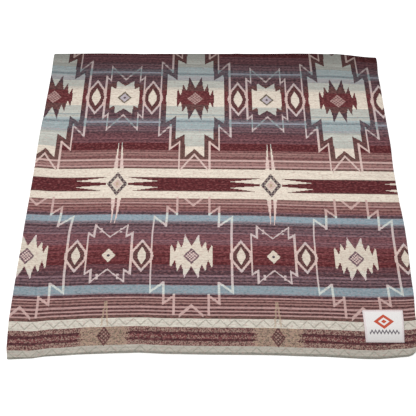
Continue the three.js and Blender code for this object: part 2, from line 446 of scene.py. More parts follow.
def borderLayers(kit, at):
    # Each layer is a mask, its yarn and how much of it covers what lies below.
    calc, b, noise = kit.calc, at.b, at.stitchNoise
    zigzag, dash, spike = border["zigzag"], border["dashes"], border["spike"]
    zigStep = motifs["repeat"] / 2 / zigzag["count"]
    zigHeight = kit.sloped(calc("PINGPONG", at.a, zigStep), -zigzag["tall"] / zigStep, zigzag["top"])
    speckled = kit.under(at.border, border["half"])
    inZone = kit.under(b, kit.sloped(noise, border["zoneStray"], border["zoneEdge"]))
    outside = calc("SUBTRACT", 1.0, inZone)
    jagStep, jagSlope = border["jag"]
    jag = calc("MULTIPLY", calc("PINGPONG", at.across, jagStep), jagSlope)
    lines = calc("COMPARE", calc("ADD", at.border, jag), *border["lines"])
    wineStitches = kit.over(noise, 1 - border["wineStitches"])
    between = kit.both(kit.under(at.border, border["betweenHalf"]), outside, wineStitches)
    dashes = kit.over(calc("PINGPONG", b, dash["step"]), dash["gap"])
    gem, rim = kit.ringed(b, at.border, *border["gem"])
    lattice = kit.both(gem, kit.hatch(b, at.border, *border["gemHatch"]))
    spikeOut = kit.sloped(at.v, spike["slope"], spike["start"])
    spikeIn = calc("SUBTRACT", spikeOut, spike["wide"])
    return [
        (calc("COMPARE", at.border, zigHeight, zigzag["half"]), "sage", 0.6),
        (kit.both(speckled, kit.under(noise, border["paleStitches"])), "speckleLight", 1),
        (kit.both(speckled, inZone, kit.over(noise, 1 - border["tanStitches"])), "tan", 0.7),
        (kit.both(speckled, inZone, kit.under(noise, border["oliveStitches"])), "olive", 0.75),
        (between, "wineLight", 0.8),
        (kit.both(lines, outside), "jagged", 1),
        (kit.both(lines, inZone, dashes, kit.over(b, dash["start"])), "olive", 0.5),
        (gem, "speckleLight", 1),
        (kit.either(rim, lattice), "cocoa", 1),
        (kit.both(kit.under(b, spikeOut), kit.over(b, spikeIn), kit.span(at.v, *spike["rows"])), "tan", 0.6),
    ]


# The rows' shapes hold heights over the row's middle, by distance from the motif's axis, and
# their lines run through such points. Ovals: the rim's outer and inner side, and the core.
starRow = {
    "star": ((0, 24), (15.5, 55), (18, 33), (22, 20), (30.5, 38), (33, 20), (36, 9), (43, 27), (45.5, 25)),
    "small": (15, 17),
    "ovals": (((0, 41), (21, 13), (24, 8)), ((0, 33), (17, 10), (18.5, 5)), ((0, 22), (8, 7), (9, 3))),
    "outline": (
        ((87, 0), (87, 93), (64, 75)),
        ((58.5, 68), (58.5, 119), (39, 104)),
        ((36.5, 98), (36.5, 147)),
        ((130.5, 0), (130.5, 50), (143, 42), (143, 72)),
    ),
    "lineWide": 4.8,
    "roof": (((143, 70), (178.5, 40)),),  # thinner, with two beads on each slope
    "roofWide": 2.9,
    "beadsAcross": (19.5, 24.5),
    "beadsAlong": ((51.5, 55), (59, 63)),
    "chevron": (((0, 124), (23, 146)),),
    "chevronWide": 5,
    "chevronRows": (76, 369),
}
bandRow = {
    "half": 18.6,
    "edge": (16.6, 18.6),
    "barStart": 26.0,  # from the diamond's axis
    # The bar's end is split: slopes and starts of the split's two sides.
    "splitIn": (0.075, 3.0),
    "splitOut": (-0.17, 20.4),
    "splitOutFar": (0.04, -2.8),  # added on the side away from the hem
    # The long spikes run further away from the near hem than towards it.
    "nearRun": -1.12,
    "spikeOut": (-0.095, 15.6),
    "spikeIn": (0.02, 1.4),
    "spikeRun": (30, 118),
    "lastSpike": 640,
}
crossRow = {
    "cross": ((0, 160), (23, 184), (23.6, 116), (46, 132), (46.6, 60), (72, 82)),
    "redStar": ((0, 34), (16, 73), (18.5, 44), (22.5, 26), (31.5, 48), (34, 24), (37, 10), (44, 30),
                (46.5, 22)),
    "tallStar": ((0, 37), (21.5, 54), (23.5, 27), (30, 31), (36, 36)),
    "wings": ((83, 90), (33.5, 190)),
    "slantWing": (57, ((0, 145), (36, 145), (57, 160))),
    "bar": ((36, 46), 42),
    "notch": (36, 50),
    "ovals": (((0, 57), (19, 27), (23, 15), (25.5, 6)), ((0, 48), (15.5, 23), (18, 12), (19, 4)),
              ((0, 29), (9.5, 9), (10.5, 3))),
    "outline": (
        ((87, 0), (87, 122), (60, 92)),
        ((59, 86), (59, 161), (37, 141)),
        ((36, 137), (36, 219)),
        ((0, 176), (30, 217)),
        ((129.5, 0), (129.5, 68), (141, 54), (141, 104), (178.5, 58)),
    ),
    "lineWide": 4.2,
    # The lines are beaded up to the tips: bead is what shows more than gap does.
    "beads": {"step": 6.0, "long": 3.2, "bead": 0.5, "gap": 0.45, "end": 130.0},
}


def ovalMasks(kit, oval, row, tables):
    # The rim, the ring inside it and the core.
    outer, inner, core = [kit.under(row, kit.heights(oval, table)) for table in tables]
    return kit.without(outer, inner), kit.without(inner, core), core


def starMasks(kit, at):
    # Stars, small diamonds and ovals inside a stepped outline with a roof and a chevron.
    rim, ring, core = ovalMasks(kit, at.oval, at.star, starRow["ovals"])
    beads = kit.either(*[kit.span(at.outline, *rows) for rows in starRow["beadsAlong"]])
    chevron = kit.stroke(at.a, at.outline, starRow["chevron"], starRow["chevronWide"])
    pale = kit.either(
        kit.stroke(at.a, at.outline, starRow["outline"], starRow["lineWide"]),
        kit.stroke(at.a, at.outline, starRow["roof"], starRow["roofWide"]),
        kit.both(kit.span(at.b, *starRow["beadsAcross"]), beads),
        kit.both(chevron, kit.span(at.v, *starRow["chevronRows"])),
        rim,
    )
    star = kit.under(at.star, kit.heights(at.a, starRow["star"]))
    light = kit.either(star, kit.diamond(at.b, at.star, *starRow["small"]), core)
    return SimpleNamespace(dark=ring, pale=pale, light=light)


def bandMasks(kit, at):
    # A dark bar with split ends, and pale spikes both ways along the cloth from this row only.
    calc = kit.calc
    fromStart = calc("SUBTRACT", at.b, bandRow["barStart"])
    farSide = kit.over(at.v, motifs["rows"]["band"])
    slope, start = [
        kit.sloped(farSide, added, near) for added, near in zip(bandRow["splitOutFar"], bandRow["splitOut"])
    ]
    split = kit.both(
        kit.over(at.band, kit.sloped(fromStart, *bandRow["splitIn"])),
        kit.under(at.band, kit.sloped(fromStart, slope, start)),
    )
    bar = kit.both(kit.under(at.band, bandRow["half"]), kit.over(fromStart, 0.0))
    past = calc("SUBTRACT", at.v, motifs["rows"]["band"])
    run = calc("MAXIMUM", past, calc("MULTIPLY", past, bandRow["nearRun"]))
    spikes = kit.both(
        kit.under(at.b, kit.sloped(run, *bandRow["spikeOut"])),
        kit.over(at.b, kit.sloped(run, *bandRow["spikeIn"])),
        kit.span(run, *bandRow["spikeRun"]),
        kit.under(at.along, bandRow["lastSpike"]),
    )
    return SimpleNamespace(dark=kit.without(bar, split), light=spikes)


def crossMasks(kit, at):
    # Stepped crosses with dark wings and a red star, and between two a tall star with dark bars.
    a, b, cross = at.a, at.b, at.cross
    rim, ring, core = ovalMasks(kit, at.oval, cross, crossRow["ovals"])

    def box(value, wide, tall):
        return kit.both(kit.under(value, wide), kit.under(cross, tall))

    crosses, redStar = [kit.under(cross, kit.heights(a, crossRow[name])) for name in ("cross", "redStar")]
    tallStar = kit.under(cross, kit.heights(b, crossRow["tallStar"]))
    slantWide, slant = crossRow["slantWing"]
    wings = [box(a, *size) for size in crossRow["wings"]] + [box(a, slantWide, kit.heights(a, slant))]
    wings = kit.without(kit.either(*wings), crosses)
    barPlace, barTall = crossRow["bar"]
    bar = kit.both(kit.span(b, *barPlace), kit.under(cross, barTall))
    beads = crossRow["beads"]
    bead = kit.under(kit.calc("PINGPONG", cross, beads["step"]), beads["long"])
    shown = kit.either(kit.sloped(bead, beads["bead"], beads["gap"]), kit.over(cross, beads["end"]))
    return SimpleNamespace(
        dark=kit.either(wings, bar, box(b, *crossRow["notch"])),
        pale=kit.either(kit.stroke(a, cross, crossRow["outline"], crossRow["lineWide"], shown), rim),
        light=kit.either(crosses, tallStar, core),
        ring=ring,
        redStar=redStar,
    )


def rowLayers(kit, at, stripe):
    # The three rows' motifs, mostly in the yarns of the stripe they lie in.
    star, band, cross = starMasks(kit, at), bandMasks(kit, at), crossMasks(kit, at)
    darks = kit.either(star.dark, band.dark, cross.dark)
    return [
        (darks, stripe.dark, 1),
        (kit.both(darks, kit.span(at.band, *bandRow["edge"])), "cocoa", 0.7),
        (cross.ring, "brickDark", 1),
        (kit.either(star.pale, cross.pale), stripe.line, motifs["lineShare"]),
        (kit.either(star.light, band.light, cross.light), stripe.light, 1),
        (cross.redStar, stripe.dark, 1),
    ]


# Small diamonds inside the stars, the bands and the crosses: reach across and along.
gems = {
    "star": ((18, 20), (14.5, 16)),
    "starHatch": (3.6, 1.0),
    "cross": (20, 21),
    "crossHatch": (4.4, 1.3),
    "band": ((24, 33), (14.5, 20)),
    "petals": (11, 15),
    "petalHatch": (4.0, 1.6),
    "beadStep": 3.6,
    "bead": (3.4, 3.4),
    "lilac": ((18, 20), (12.6, 14)),
    "bandDot": (4.5, 6),
    "dot": (3.8, 4.4),
}


def gemLayers(kit, at):
    a, b, star, band, cross = at.a, at.b, at.star, at.band, at.cross
    starGem, starRim = kit.ringed(a, star, *gems["star"])
    starLattice = kit.both(starGem, kit.hatch(a, star, *gems["starHatch"]))
    crossGem = kit.diamond(a, cross, *gems["cross"])
    bandGem, bandRim = kit.ringed(b, band, *gems["band"])
    petals = kit.both(kit.diamond(b, band, *gems["petals"]), kit.hatch(b, band, *gems["petalHatch"]))
    beads = kit.diamond(*[kit.calc("PINGPONG", way, gems["beadStep"]) for way in (b, band)], *gems["bead"])
    lilacGem, lilacRim = kit.ringed(b, cross, *gems["lilac"])
    dots = [kit.diamond(b, row, *gems["dot"]) for row in (cross, star)]
    return [
        (starGem, "paleRose", 1),
        (kit.either(starRim, starLattice), "plumLight", 1),
        (crossGem, "roseDark", 1),
        (kit.both(crossGem, kit.hatch(a, cross, *gems["crossHatch"])), "blush", 1),
        (bandGem, "stoneCream", 1),
        (petals, "palePink", 1),
        (bandRim, "inkDark", 1),
        (kit.both(bandRim, beads), "stoneCream", 0.4),
        (lilacGem, "lilac", 1),
        (lilacRim, "olive", 1),
        (kit.diamond(b, band, *gems["bandDot"]), "tan", 1),
        (kit.either(*dots), "ink", 1),
    ]


# Noises: how fine across and along, and a seed. Tones and shares: slope and start.
wearAndFoldShade = {
    "rows": (0.03, 0.62, 0.0),
    "mottle": (0.16, 0.26, 7.0),
    "strands": (0.15, 0.27, 21.0),
    "noise": {"scale": 1.0, "detail": 2.0, "rough": 0.6},
    "rowTone": (0.7, 0.65),
    "mottleTone": (0.4, 0.8),
    "stitchTone": (0.1, 0.95),
    # Painted shade along the far fold: where it is darkest, how far it reaches, its softness and tone.
    "foldAt": 838.0,
    "foldReach": 172,
    "foldSoft": 0.3,
    "paintedFoldShade": (0.57, 0.43),
    "brushed": (5.0, -2.5),
    "brushedShare": 0.4,
    "shade": (-5.0, 2.6),
    "shadeShare": 0.7,
}


def wornAndFoldShaded(kit, at, colour):
    # The tone is the product of slope * noise + start over: rows lighter or darker in runs some
    # centimetres long, a mottle of brushed fibres, flecks of a stitch, and painted shade, darker
    # along the far fold where the cloth turns down. Pale fibres lie over the yarns, and dark ones between
    # dark stitches.
    calc = kit.calc

    def cloud(name, along):
        fineAcross, fineAlong, seed = wearAndFoldShade[name]
        place = calc("MULTIPLY", at.rawAcross, fineAcross), calc("MULTIPLY", along, fineAlong), seed
        return kit.noise(kit.vector(*place), **wearAndFoldShade["noise"])

    fromFold = calc("MULTIPLY", kit.away(at.rawAlong, wearAndFoldShade["foldAt"]), 1 / wearAndFoldShade["foldReach"])
    tone = kit.both(
        kit.sloped(cloud("rows", at.along), *wearAndFoldShade["rowTone"]),
        kit.sloped(cloud("mottle", at.rawAlong), *wearAndFoldShade["mottleTone"]),
        kit.sloped(at.stitchNoise, *wearAndFoldShade["stitchTone"]),
        # Painted shade: darkest at the far fold, gone foldReach past it on either side.
        kit.sloped(calc("SMOOTH_MIN", fromFold, 1.0, wearAndFoldShade["foldSoft"]), *wearAndFoldShade["paintedFoldShade"]),
    )
    strands = cloud("strands", at.rawAlong)
    pale, deep = [kit.clamped(kit.sloped(strands, *wearAndFoldShade[name])) for name in ("brushed", "shade")]
    depth = kit.darkness(colour)
    colour = kit.dye(colour, pale, "brushed", wearAndFoldShade["brushedShare"])
    colour = kit.dye(colour, kit.both(deep, depth), "shade", wearAndFoldShade["shadeShare"])
    return kit.toned(colour, tone)


def makePatternGroup():
    # The blanket's stripes and motifs from its cloth coordinates, in metres, darkened near the far fold by
    # painted shade.
    inputs = [("Across", "Float"), ("Along", "Float")]
    group, given, result = newGroup("stripesAndStars", inputs, [("Color", "Color")])
    kit = nodeKit(group)
    at = clothPlaces(kit, given)
    stripe = stripeYarns(kit, at)
    colour = stripe.ground
    for mask, yarn, share in borderLayers(kit, at) + rowLayers(kit, at, stripe) + gemLayers(kit, at):
        colour = kit.dye(colour, mask, yarn, share)
    kit.put(result.inputs["Color"], wornAndFoldShaded(kit, at, colour))
    return group


def makeThreadGroup():
    # Threads as humps, (across hump * along hump) ^ 0.6, every other row half a hump aside, and a
    # nap of fibres over them. Shade is how light the place is: 1 on a thread, less between two.
    inputs = [(name, "Float") for name in ("Across", "Along", "Thread", "Row", "Nap")]
    group, given, result = newGroup("wovenThreads", inputs, [("Height", "Float"), ("Shade", "Float")])
    kit = nodeKit(group)
    calc = kit.calc
    across = calc("DIVIDE", given.outputs["Across"], given.outputs["Thread"])
    along = calc("DIVIDE", given.outputs["Along"], given.outputs["Row"])
    aside = calc("MULTIPLY", calc("PINGPONG", calc("FLOOR", along), 1.0), 0.5)
    acrossHump, alongHump = [calc("PINGPONG", way, 0.5) for way in (calc("ADD", across, aside), along)]
    humps = calc("POWER", kit.both(acrossHump, alongHump, 4.0), 0.6)
    fibrePlace = kit.vector(calc("MULTIPLY", across, 0.9), calc("MULTIPLY", along, 2.3))
    fibres = kit.noise(fibrePlace, 1.0, 3.0, 0.7)
    nap = given.outputs["Nap"]
    height = calc("MULTIPLY_ADD", nap, calc("SUBTRACT", fibres, humps), humps)
    kit.put(result.inputs["Height"], height)
    kit.put(result.inputs["Shade"], calc("MULTIPLY_ADD", height, 0.34, 0.83))
    return group


def makeMaterial(name, threads, settings):
    # A woven material: the threads' relief in its bump, with the finish's settings on the shader.
    material = bpy.data.materials.new(name)
    material.use_nodes = True
    tree = material.node_tree
    kit = nodeKit(tree)
    shader = tree.nodes["Principled BSDF"]
    uv = tree.nodes.new("ShaderNodeUVMap")
    uv.uv_map = "weave"
    parts = tree.nodes.new("ShaderNodeSeparateXYZ")
    kit.put(parts.inputs[0], uv.outputs[0])
    relief = tree.nodes.new("ShaderNodeGroup")
    relief.node_tree = threads
    kit.put(relief.inputs["Across"], parts.outputs[0])
    kit.put(relief.inputs["Along"], parts.outputs[1])
    bump = tree.nodes.new("ShaderNodeBump")
    kit.put(bump.inputs["Height"], relief.outputs["Height"])
    kit.put(shader.inputs["Normal"], bump.outputs[0])
    for node, part in ((relief, "threads"), (bump, "bump"), (shader, "surface")):
        for socket, value in settings[part].items():
            kit.put(node.inputs[socket], value)
    return material, kit, shader, parts, relief


finishes = {
    "wool": {
        "threads": {"Thread": 0.0017, "Row": 0.0016, "Nap": 0.55},
        "bump": {"Strength": 0.5, "Distance": 0.0008},
        "surface": {"Roughness": 0.95, "Specular IOR Level": 0.08, "Sheen Weight": 0.04,
                    "Sheen Roughness": 0.5},
    },
    "ribbon": {
        "threads": {"Thread": 0.0006, "Row": 0.0005, "Nap": 0.12},
        "bump": {"Strength": 0.45, "Distance": 0.0002},
        "surface": {"Roughness": 0.72, "Specular IOR Level": 0.3, "Sheen Weight": 0.05,
                    "Sheen Roughness": 0.5},
    },
}
threadGroup = makeThreadGroup()


def makeClothMaterial():
    material, kit, shader, parts, relief = makeMaterial("wovenWool", threadGroup, finishes["wool"])
    pattern = material.node_tree.nodes.new("ShaderNodeGroup")
    pattern.node_tree = makePatternGroup()
    kit.put(pattern.inputs["Across"], parts.outputs[0])
    kit.put(pattern.inputs["Along"], parts.outputs[1])
    # The threads' Shade is painted shade between threads, multiplied into the base colour.
    colour = kit.toned(pattern.outputs["Color"], relief.outputs["Shade"])
    kit.put(shader.inputs["Base Color"], colour)
    return material


cloth = {
    "width": 1.69,  # as woven, before folding
    "length": 2.24,
    "ply": 0.003,
    "plyGap": 0.0008,
    "legGap": 0.002,
    "hemLine": -0.4117,  # where the near hem lies, before its bow
    "stackDepth": 0.8305,
    "hiddenFold": 0.075,  # the middle leg turns back this far behind the hem line
    "rampStart": -0.005,
    "rampEnd": 0.082,
    "farSag": 0.005,
    "cornerSag": 0.0032,
    "cornerPull": 0.011,
    "cornerReach": 0.120,
    "bowFade": 0.150,
    "lowerPlyShort": 0.004,
    "upperWander": (0.0008, 0.4),  # a side edge's slow waves: amount and phase
    "lowerWander": (0.0018, 2.2),
    "ridgeFade": 0.12,  # the ridges rise over this length past the near ramp
    "rowTilt": 0.0325,
    # How far the rows were pulled towards the near hem, in millimetres, by their place along.
    "rowPull": {
        "along": (0, 330, 400, 480, 560, 620, 669, 700, 735, 765, 790, 815),
        "middle": (2.5, 3.5, 2.3, 1, 0, 1, 4, 2.5, 1.5, 1.5, -1.5, 0),
        "left": (2.5, 3, 4, 5.5, 5, 3, 2, 3, 4.5, 4.5, 4.5, 4),
        "right": (0.5, 5, 3, 1.5, 1, 1, 0, 0, 0, 0, 0.5, 1),
    },
    "pullLeft": {"x": (-425, -370, -200), "share": (0.2, 1, 0)},
    "pullRight": {"x": (60, 290, 360), "share": (0, 0.9, 1)},
    # How far the star row was pulled to the left: most at its own place along, by the place across.
    "starPull": {"along": (100, 180, 265, 330), "share": (0, 1, 1, -0.6)},
    "starPullBy": {"x": (-425, -230, -140, 60, 200, 400), "shift": (3.5, 3.5, 2, 1.2, 2.2, 1.5)},
    "cornerRound": (0.005, 0.011),  # how far in, and over what distance
    # place counts the legs: 0 near hem, 1 far fold, 3 hidden fold, 5 the other hem.
    "sideEdges": {
        "place": (0, 0.03, 0.09, 0.17, 0.35, 0.53, 0.66, 0.78, 0.9, 1, 2, 2.5, 3, 4, 4.5, 5),
        "left": (-422.5, -426, -426, -426.2, -425.5, -424.7, -425.5, -422.8, -421, -423.3,
                 -421, -417, -420, -421.5, -418.5, -420),
        "right": (411.5, 412, 414, 418.5, 423, 419.5, 422.5, 421, 421, 426.2,
                  424, 419, 416.5, 418, 422, 419),
    },
    "hemBow": {
        "x": (-425, -385, -330, -250, -155, -90, 0, 100, 195, 325, 390, 425),
        "shift": (-7.7, -6.2, -0.2, 3.8, 6.3, 3.5, 2.2, 1.5, -1.3, -7, -3, 2.2),
    },
    # Soft ridges of the top layer, in millimetres and degrees.
    "ridges": (
        {"x": -330, "y": 640, "turn": 80, "length": 330, "width": 60, "height": 1.4},
        {"x": -120, "y": 300, "turn": 12, "length": 520, "width": 90, "height": 1.1},
        {"x": 90, "y": 560, "turn": 155, "length": 460, "width": 80, "height": 1.2},
        {"x": 300, "y": 330, "turn": 70, "length": 420, "width": 75, "height": 1.3},
        {"x": 210, "y": 730, "turn": 85, "length": 260, "width": 45, "height": 0.9},
        {"x": -240, "y": 120, "turn": 95, "length": 200, "width": 50, "height": 0.8},
    ),
    # Narrow creases that the folding left, below 0 for a trough. They start at an edge or cross it.
    "creases": (
        {"x": -405, "y": 250, "turn": 8, "length": 90, "width": 9, "height": -0.9},
        {"x": -410, "y": 305, "turn": -6, "length": 120, "width": 11, "height": 0.8},
        {"x": -400, "y": 470, "turn": 14, "length": 140, "width": 12, "height": -0.9},
        {"x": -415, "y": 585, "turn": -10, "length": 80, "width": 8, "height": 0.7},
        {"x": -395, "y": 705, "turn": 25, "length": 110, "width": 13, "height": -1.0},
        {"x": -190, "y": 800, "turn": 84, "length": 90, "width": 12, "height": -0.8},
        {"x": 60, "y": 812, "turn": 97, "length": 70, "width": 10, "height": 0.7},
        {"x": 330, "y": 760, "turn": 118, "length": 130, "width": 15, "height": -1.1},
        {"x": 395, "y": 520, "turn": 172, "length": 110, "width": 12, "height": 0.8},
        {"x": 400, "y": 355, "turn": 186, "length": 90, "width": 10, "height": -0.8},
        {"x": -120, "y": 205, "turn": 3, "length": 230, "width": 14, "height": -0.5},
        {"x": 130, "y": 455, "turn": -4, "length": 260, "width": 16, "height": 0.5},
    ),
    # Rings along the cloth: place from, to and how many steps.
    "stretches": ((0, 0.1, 26), (0.1, 0.9, 84), (0.9, 1, 16), (1, 2, 10), (2, 2.1, 6),
                  (2.1, 3, 14), (3, 4, 8), (4, 5, 18)),
    "stepsUpper": 130,
    "stepsLower": 26,
    "stepsFold": 8,
    "stepsEdge": 3,
    # The bake map's shares of room, next to 1 for the upper ply up to topEnd, and its measured ring.
    "bakeRoom": {"lowerPly": 0.45, "lowerLegs": 0.12, "topEnd": 1.6, "ring": 40},
}

half = cloth["ply"] / 2
plyMiddle = half + cloth["plyGap"] / 2  # from the pair's middle to a ply's middle
pairHalf = plyMiddle + half
pitch = 2 * pairHalf + cloth["legGap"]
bendRadius = pitch / 2
farBend = cloth["stackDepth"] - bendRadius - pairHalf
rampExtra = 0.6 * (2 * pitch) ** 2 / (cloth["rampEnd"] - cloth["rampStart"])
legLengths = np.array([
    farBend + rampExtra,
    math.pi * bendRadius,
    farBend - cloth["hiddenFold"],
    math.pi * bendRadius,
    0,
])
legLengths[4] = cloth["length"] - legLengths.sum()
lowLegEnd = cloth["hiddenFold"] + legLengths[4]


def softStep(value, low, high):
    # 3 t^2 - 2 t^3, with t running from 0 at low to 1 at high.
    t = np.clip((value - low) / (high - low), 0, 1)
    return t * t * (3 - 2 * t)


def eased(at, keys, values):
    # A table's column at any place: the rows on both sides, mixed by a soft step.
    keys = np.asarray(keys, float)
    values = np.asarray(values, float)
    row = np.clip(np.searchsorted(keys, at) - 1, 0, len(keys) - 2)
    share = softStep(at, keys[row], keys[row + 1])
    return values[row] + (values[row + 1] - values[row]) * share


def ridgeHeight(x, y):
    # Each ridge is height * exp(-(along/length)^2 - (across/width)^2) about its own line.
    total = np.zeros(np.broadcast(x, y).shape)
    for ridge in cloth["ridges"] + cloth["creases"]:
        turn = math.radians(ridge["turn"])
        fromX = x - ridge["x"] / 1000
        fromY = y - ridge["y"] / 1000
        along = (fromX * math.cos(turn) + fromY * math.sin(turn)) * 1000 / ridge["length"]
        across = (fromY * math.cos(turn) - fromX * math.sin(turn)) * 1000 / ridge["width"]
        total = total + ridge["height"] / 1000 * np.exp(-along**2 - across**2)
    return total * softStep(y, cloth["rampEnd"], cloth["rampEnd"] + cloth["ridgeFade"])


def cornerShare(x):
    # 0 over most of the width, rising softly to 1 at the far right corner.
    return softStep(x, 0.425 - cloth["cornerReach"], 0.430)


def sag(x, y):
    # How far the layers sink past the end of the lowest leg.
    depth = cloth["farSag"] + cloth["cornerSag"] * cornerShare(x)
    return depth * softStep(y, lowLegEnd + 0.004, farBend)


def topHeight(x, y):
    # pairHalf + 2 pitch * softStep over the ramp - sag + ridges.
    stacked = 2 * pitch * softStep(y, cloth["rampStart"], cloth["rampEnd"])
    return pairHalf + stacked - sag(x, y) + ridgeHeight(x, y)


def middlePoint(place, x):
    # The middle surface of a pair: straight legs joined by half circles of bendRadius.
    leg = np.minimum(4, np.floor(place)).astype(int)
    t = place - leg
    pull = cloth["cornerPull"] * cornerShare(x)
    farY = farBend - pull
    flatY = farBend * t
    bow = eased(x * 1000, **renamed(cloth["hemBow"], "x", "shift")) / 1000
    topY = flatY + bow * np.exp(-flatY / cloth["bowFade"]) * (1 - t) - pull * softStep(t, 0.8, 1)
    high = topHeight(x, farY)
    low = pairHalf + pitch - sag(x, farY)
    radius = (high - low) / 2
    angle = np.pi * t
    backY = farY + (cloth["hiddenFold"] - farY) * t
    y = np.choose(leg, [
        topY,
        farY + radius * np.sin(angle),
        backY,
        cloth["hiddenFold"] - bendRadius * np.sin(angle),
        cloth["hiddenFold"] + (lowLegEnd - cloth["hiddenFold"]) * t,
    ])
    z = np.choose(leg, [
        topHeight(x, topY),
        (high + low) / 2 + radius * np.cos(angle),
        pairHalf + pitch - sag(x, backY),
        pairHalf + bendRadius + bendRadius * np.cos(angle),
        np.full_like(t, pairHalf),
    ])
    return y, z


def renamed(table, key, column):
    # A table's key and one column, as eased wants them.
    return {"keys": table[key], "values": table[column]}


def alongCloth(place):
    # Metres of cloth from the near hem to a place.
    ends = np.concatenate([[0], np.cumsum(legLengths)])
    return np.interp(place, np.arange(6), ends)


def acrossSamples():
    # One line of samples from the upper side edge, round the lengthwise fold, to the lower one.
    # kind 0 is the upper ply, 1 the fold, 2 the lower ply; share runs along each; thick is the
    # ply's thickness there, 0 at the very edge: sqrt(1 - (1 - d/half)^2) at a distance d.
    edge = np.sin(np.linspace(0, 1, cloth["stepsEdge"] + 1)[:-1] * np.pi / 2)
    upper = (1 + np.cos(np.linspace(0, np.pi, cloth["stepsUpper"] + 1))) / 2
    upper = 0.7 * upper + 0.3 * np.linspace(1, 0, cloth["stepsUpper"] + 1)
    fold = np.linspace(0, 1, cloth["stepsFold"] + 1)[1:-1]
    lower = (1 - np.cos(np.linspace(0, np.pi, cloth["stepsLower"] + 1))) / 2
    kind = np.concatenate([0 * edge, 0 * upper, 1 + 0 * fold, 2 + 0 * lower, 2 + 0 * edge]).astype(int)
    share = np.concatenate([1 + 0 * edge, upper, fold, lower, 1 + 0 * edge])
    inset = np.concatenate([edge, 1 + 0 * upper, 1 + 0 * fold, 1 + 0 * lower, edge[::-1]])
    thick = np.sqrt(1 - (1 - inset) ** 2)
    return kind, share, inset, thick


def alongSamples():
    # Places of the rings, with the same rounding at both hems.
    rings = [np.array([0.0])]
    for low, high, steps in cloth["stretches"]:
        rings.append(np.linspace(low, high, steps + 1)[1:])
    place = np.concatenate(rings)
    edge = np.sin(np.linspace(0, 1, cloth["stepsEdge"] + 1)[:-1] * np.pi / 2)
    before = edge * half / legLengths[0]
    after = 5 - edge[::-1] * half / legLengths[4]
    place[0] = half / legLengths[0]
    place[-1] = 5 - half / legLengths[4]
    inset = np.concatenate([edge, np.ones(len(place)), edge[::-1]])
    return np.concatenate([before, place, after]), np.sqrt(1 - (1 - inset) ** 2)


def edgeWave(place, amount, phase):
    # A side edge's own slow wander: three sines of unlike lengths.
    waves = 0.5 * np.sin(9.1 * place + phase) + 0.3 * np.sin(23.7 * place + 2.1 * phase)
    return amount * (waves + 0.2 * np.sin(51.3 * place + 3.3 * phase))


def clothSurface():
    # Points and cloth coordinates of both faces: middle surface + side * half * thick * normal.
    kind, share, inset, thickAcross = acrossSamples()
    place, thickAlong = alongSamples()
    edges = cloth["sideEdges"]
    left = eased(place, edges["place"], edges["left"])[:, None] / 1000
    right = eased(place, edges["place"], edges["right"])[:, None] / 1000
    foldX = left + pairHalf
    upperEdge = right + edgeWave(place, *cloth["upperWander"])[:, None]
    lowerEdge = right - cloth["lowerPlyShort"] + edgeWave(place, *cloth["lowerWander"])[:, None]
    edge = np.where(kind == 0, upperEdge, lowerEdge) - half
    x = foldX + (edge - foldX) * share + np.where(kind == 1, 0, half * (1 - inset) * (share == 1))
    turn = np.pi * share
    x = np.where(kind == 1, foldX - plyMiddle * np.sin(turn), x)
    out = np.choose(kind, [plyMiddle, 0, -plyMiddle]) + 0 * x
    out = np.where(kind == 1, plyMiddle * np.cos(turn), out)
    # The cloth's own X runs on round the fold, half a turn of plyMiddle long.
    beyond = np.where(kind == 1, foldX - plyMiddle * turn, 2 * foldX - np.pi * plyMiddle - x)
    u = np.where(kind == 0, x, beyond)
    placeGrid = place[:, None] + 0 * x
    small = 1e-4
    y, z = middlePoint(placeGrid, x)
    y0, z0 = middlePoint(np.maximum(placeGrid - small, 0), x)
    y1, z1 = middlePoint(np.minimum(placeGrid + small, 5), x)
    length = np.hypot(y1 - y0, z1 - z0)
    faceY = -(z1 - z0) / length
    faceZ = (y1 - y0) / length
    middle = np.stack([x, cloth["hemLine"] + y + faceY * out, z + faceZ * out], -1)
    tiltX = np.where(kind == 1, np.sin(turn), 0) + 0 * x
    tiltOut = np.where(kind == 1, np.cos(turn), np.choose(kind, [1, 0, -1])) + 0 * x
    normal = np.stack([-tiltX, faceY * tiltOut, faceZ * tiltOut], -1)
    thick = (half * thickAlong[:, None] * thickAcross[None, :])[..., None]
    faces = [middle + normal * thick, middle - normal * thick]
    top = (placeGrid <= 1)
    deep, reach = cloth["cornerRound"]
    for face in faces:
        fromSide = np.maximum(0, right - face[..., 0])
        fromHem = np.maximum(0, face[..., 1] - cloth["hemLine"])
        moved = deep * np.exp(-(fromSide + fromHem) / reach) * top
        face[..., 0] -= moved
        face[..., 1] += moved
    v = alongCloth(placeGrid)
    # The rows run a little aslant on the upper leg, less and less past its far fold.
    fading = farBend * (1 - softStep(v, farBend, cloth["length"]))
    v = v + cloth["rowTilt"] * x * np.where(v < farBend, v, fading)
    return faces, u + starPull(x, v), v + rowPull(x, v)


def starPull(x, v):
    # Its share along the cloth * its shift at x, both eased.
    share = eased(v * 1000, **renamed(cloth["starPull"], "along", "share"))
    return share * eased(x * 1000, **renamed(cloth["starPullBy"], "x", "shift")) / 1000


def rowPull(x, v):
    # middle + left * its share at x + right * its share at x, each eased along the cloth.
    pull = cloth["rowPull"]
    columns = [eased(v * 1000, pull["along"], pull[side]) for side in ("middle", "left", "right")]
    left = eased(x * 1000, **renamed(cloth["pullLeft"], "x", "share"))
    right = eased(x * 1000, **renamed(cloth["pullRight"], "x", "share"))
    return (columns[0] + columns[1] * left + columns[2] * right) / 1000


def gridFaces(index, flip=False):
    # Quads between neighbours of an index grid.
    a, b = index[:-1, :-1], index[1:, :-1]
    c, d = index[1:, 1:], index[:-1, 1:]
    quads = np.stack([a, d, c, b] if flip else [a, b, c, d], -1)
    return quads.reshape(-1, 4)


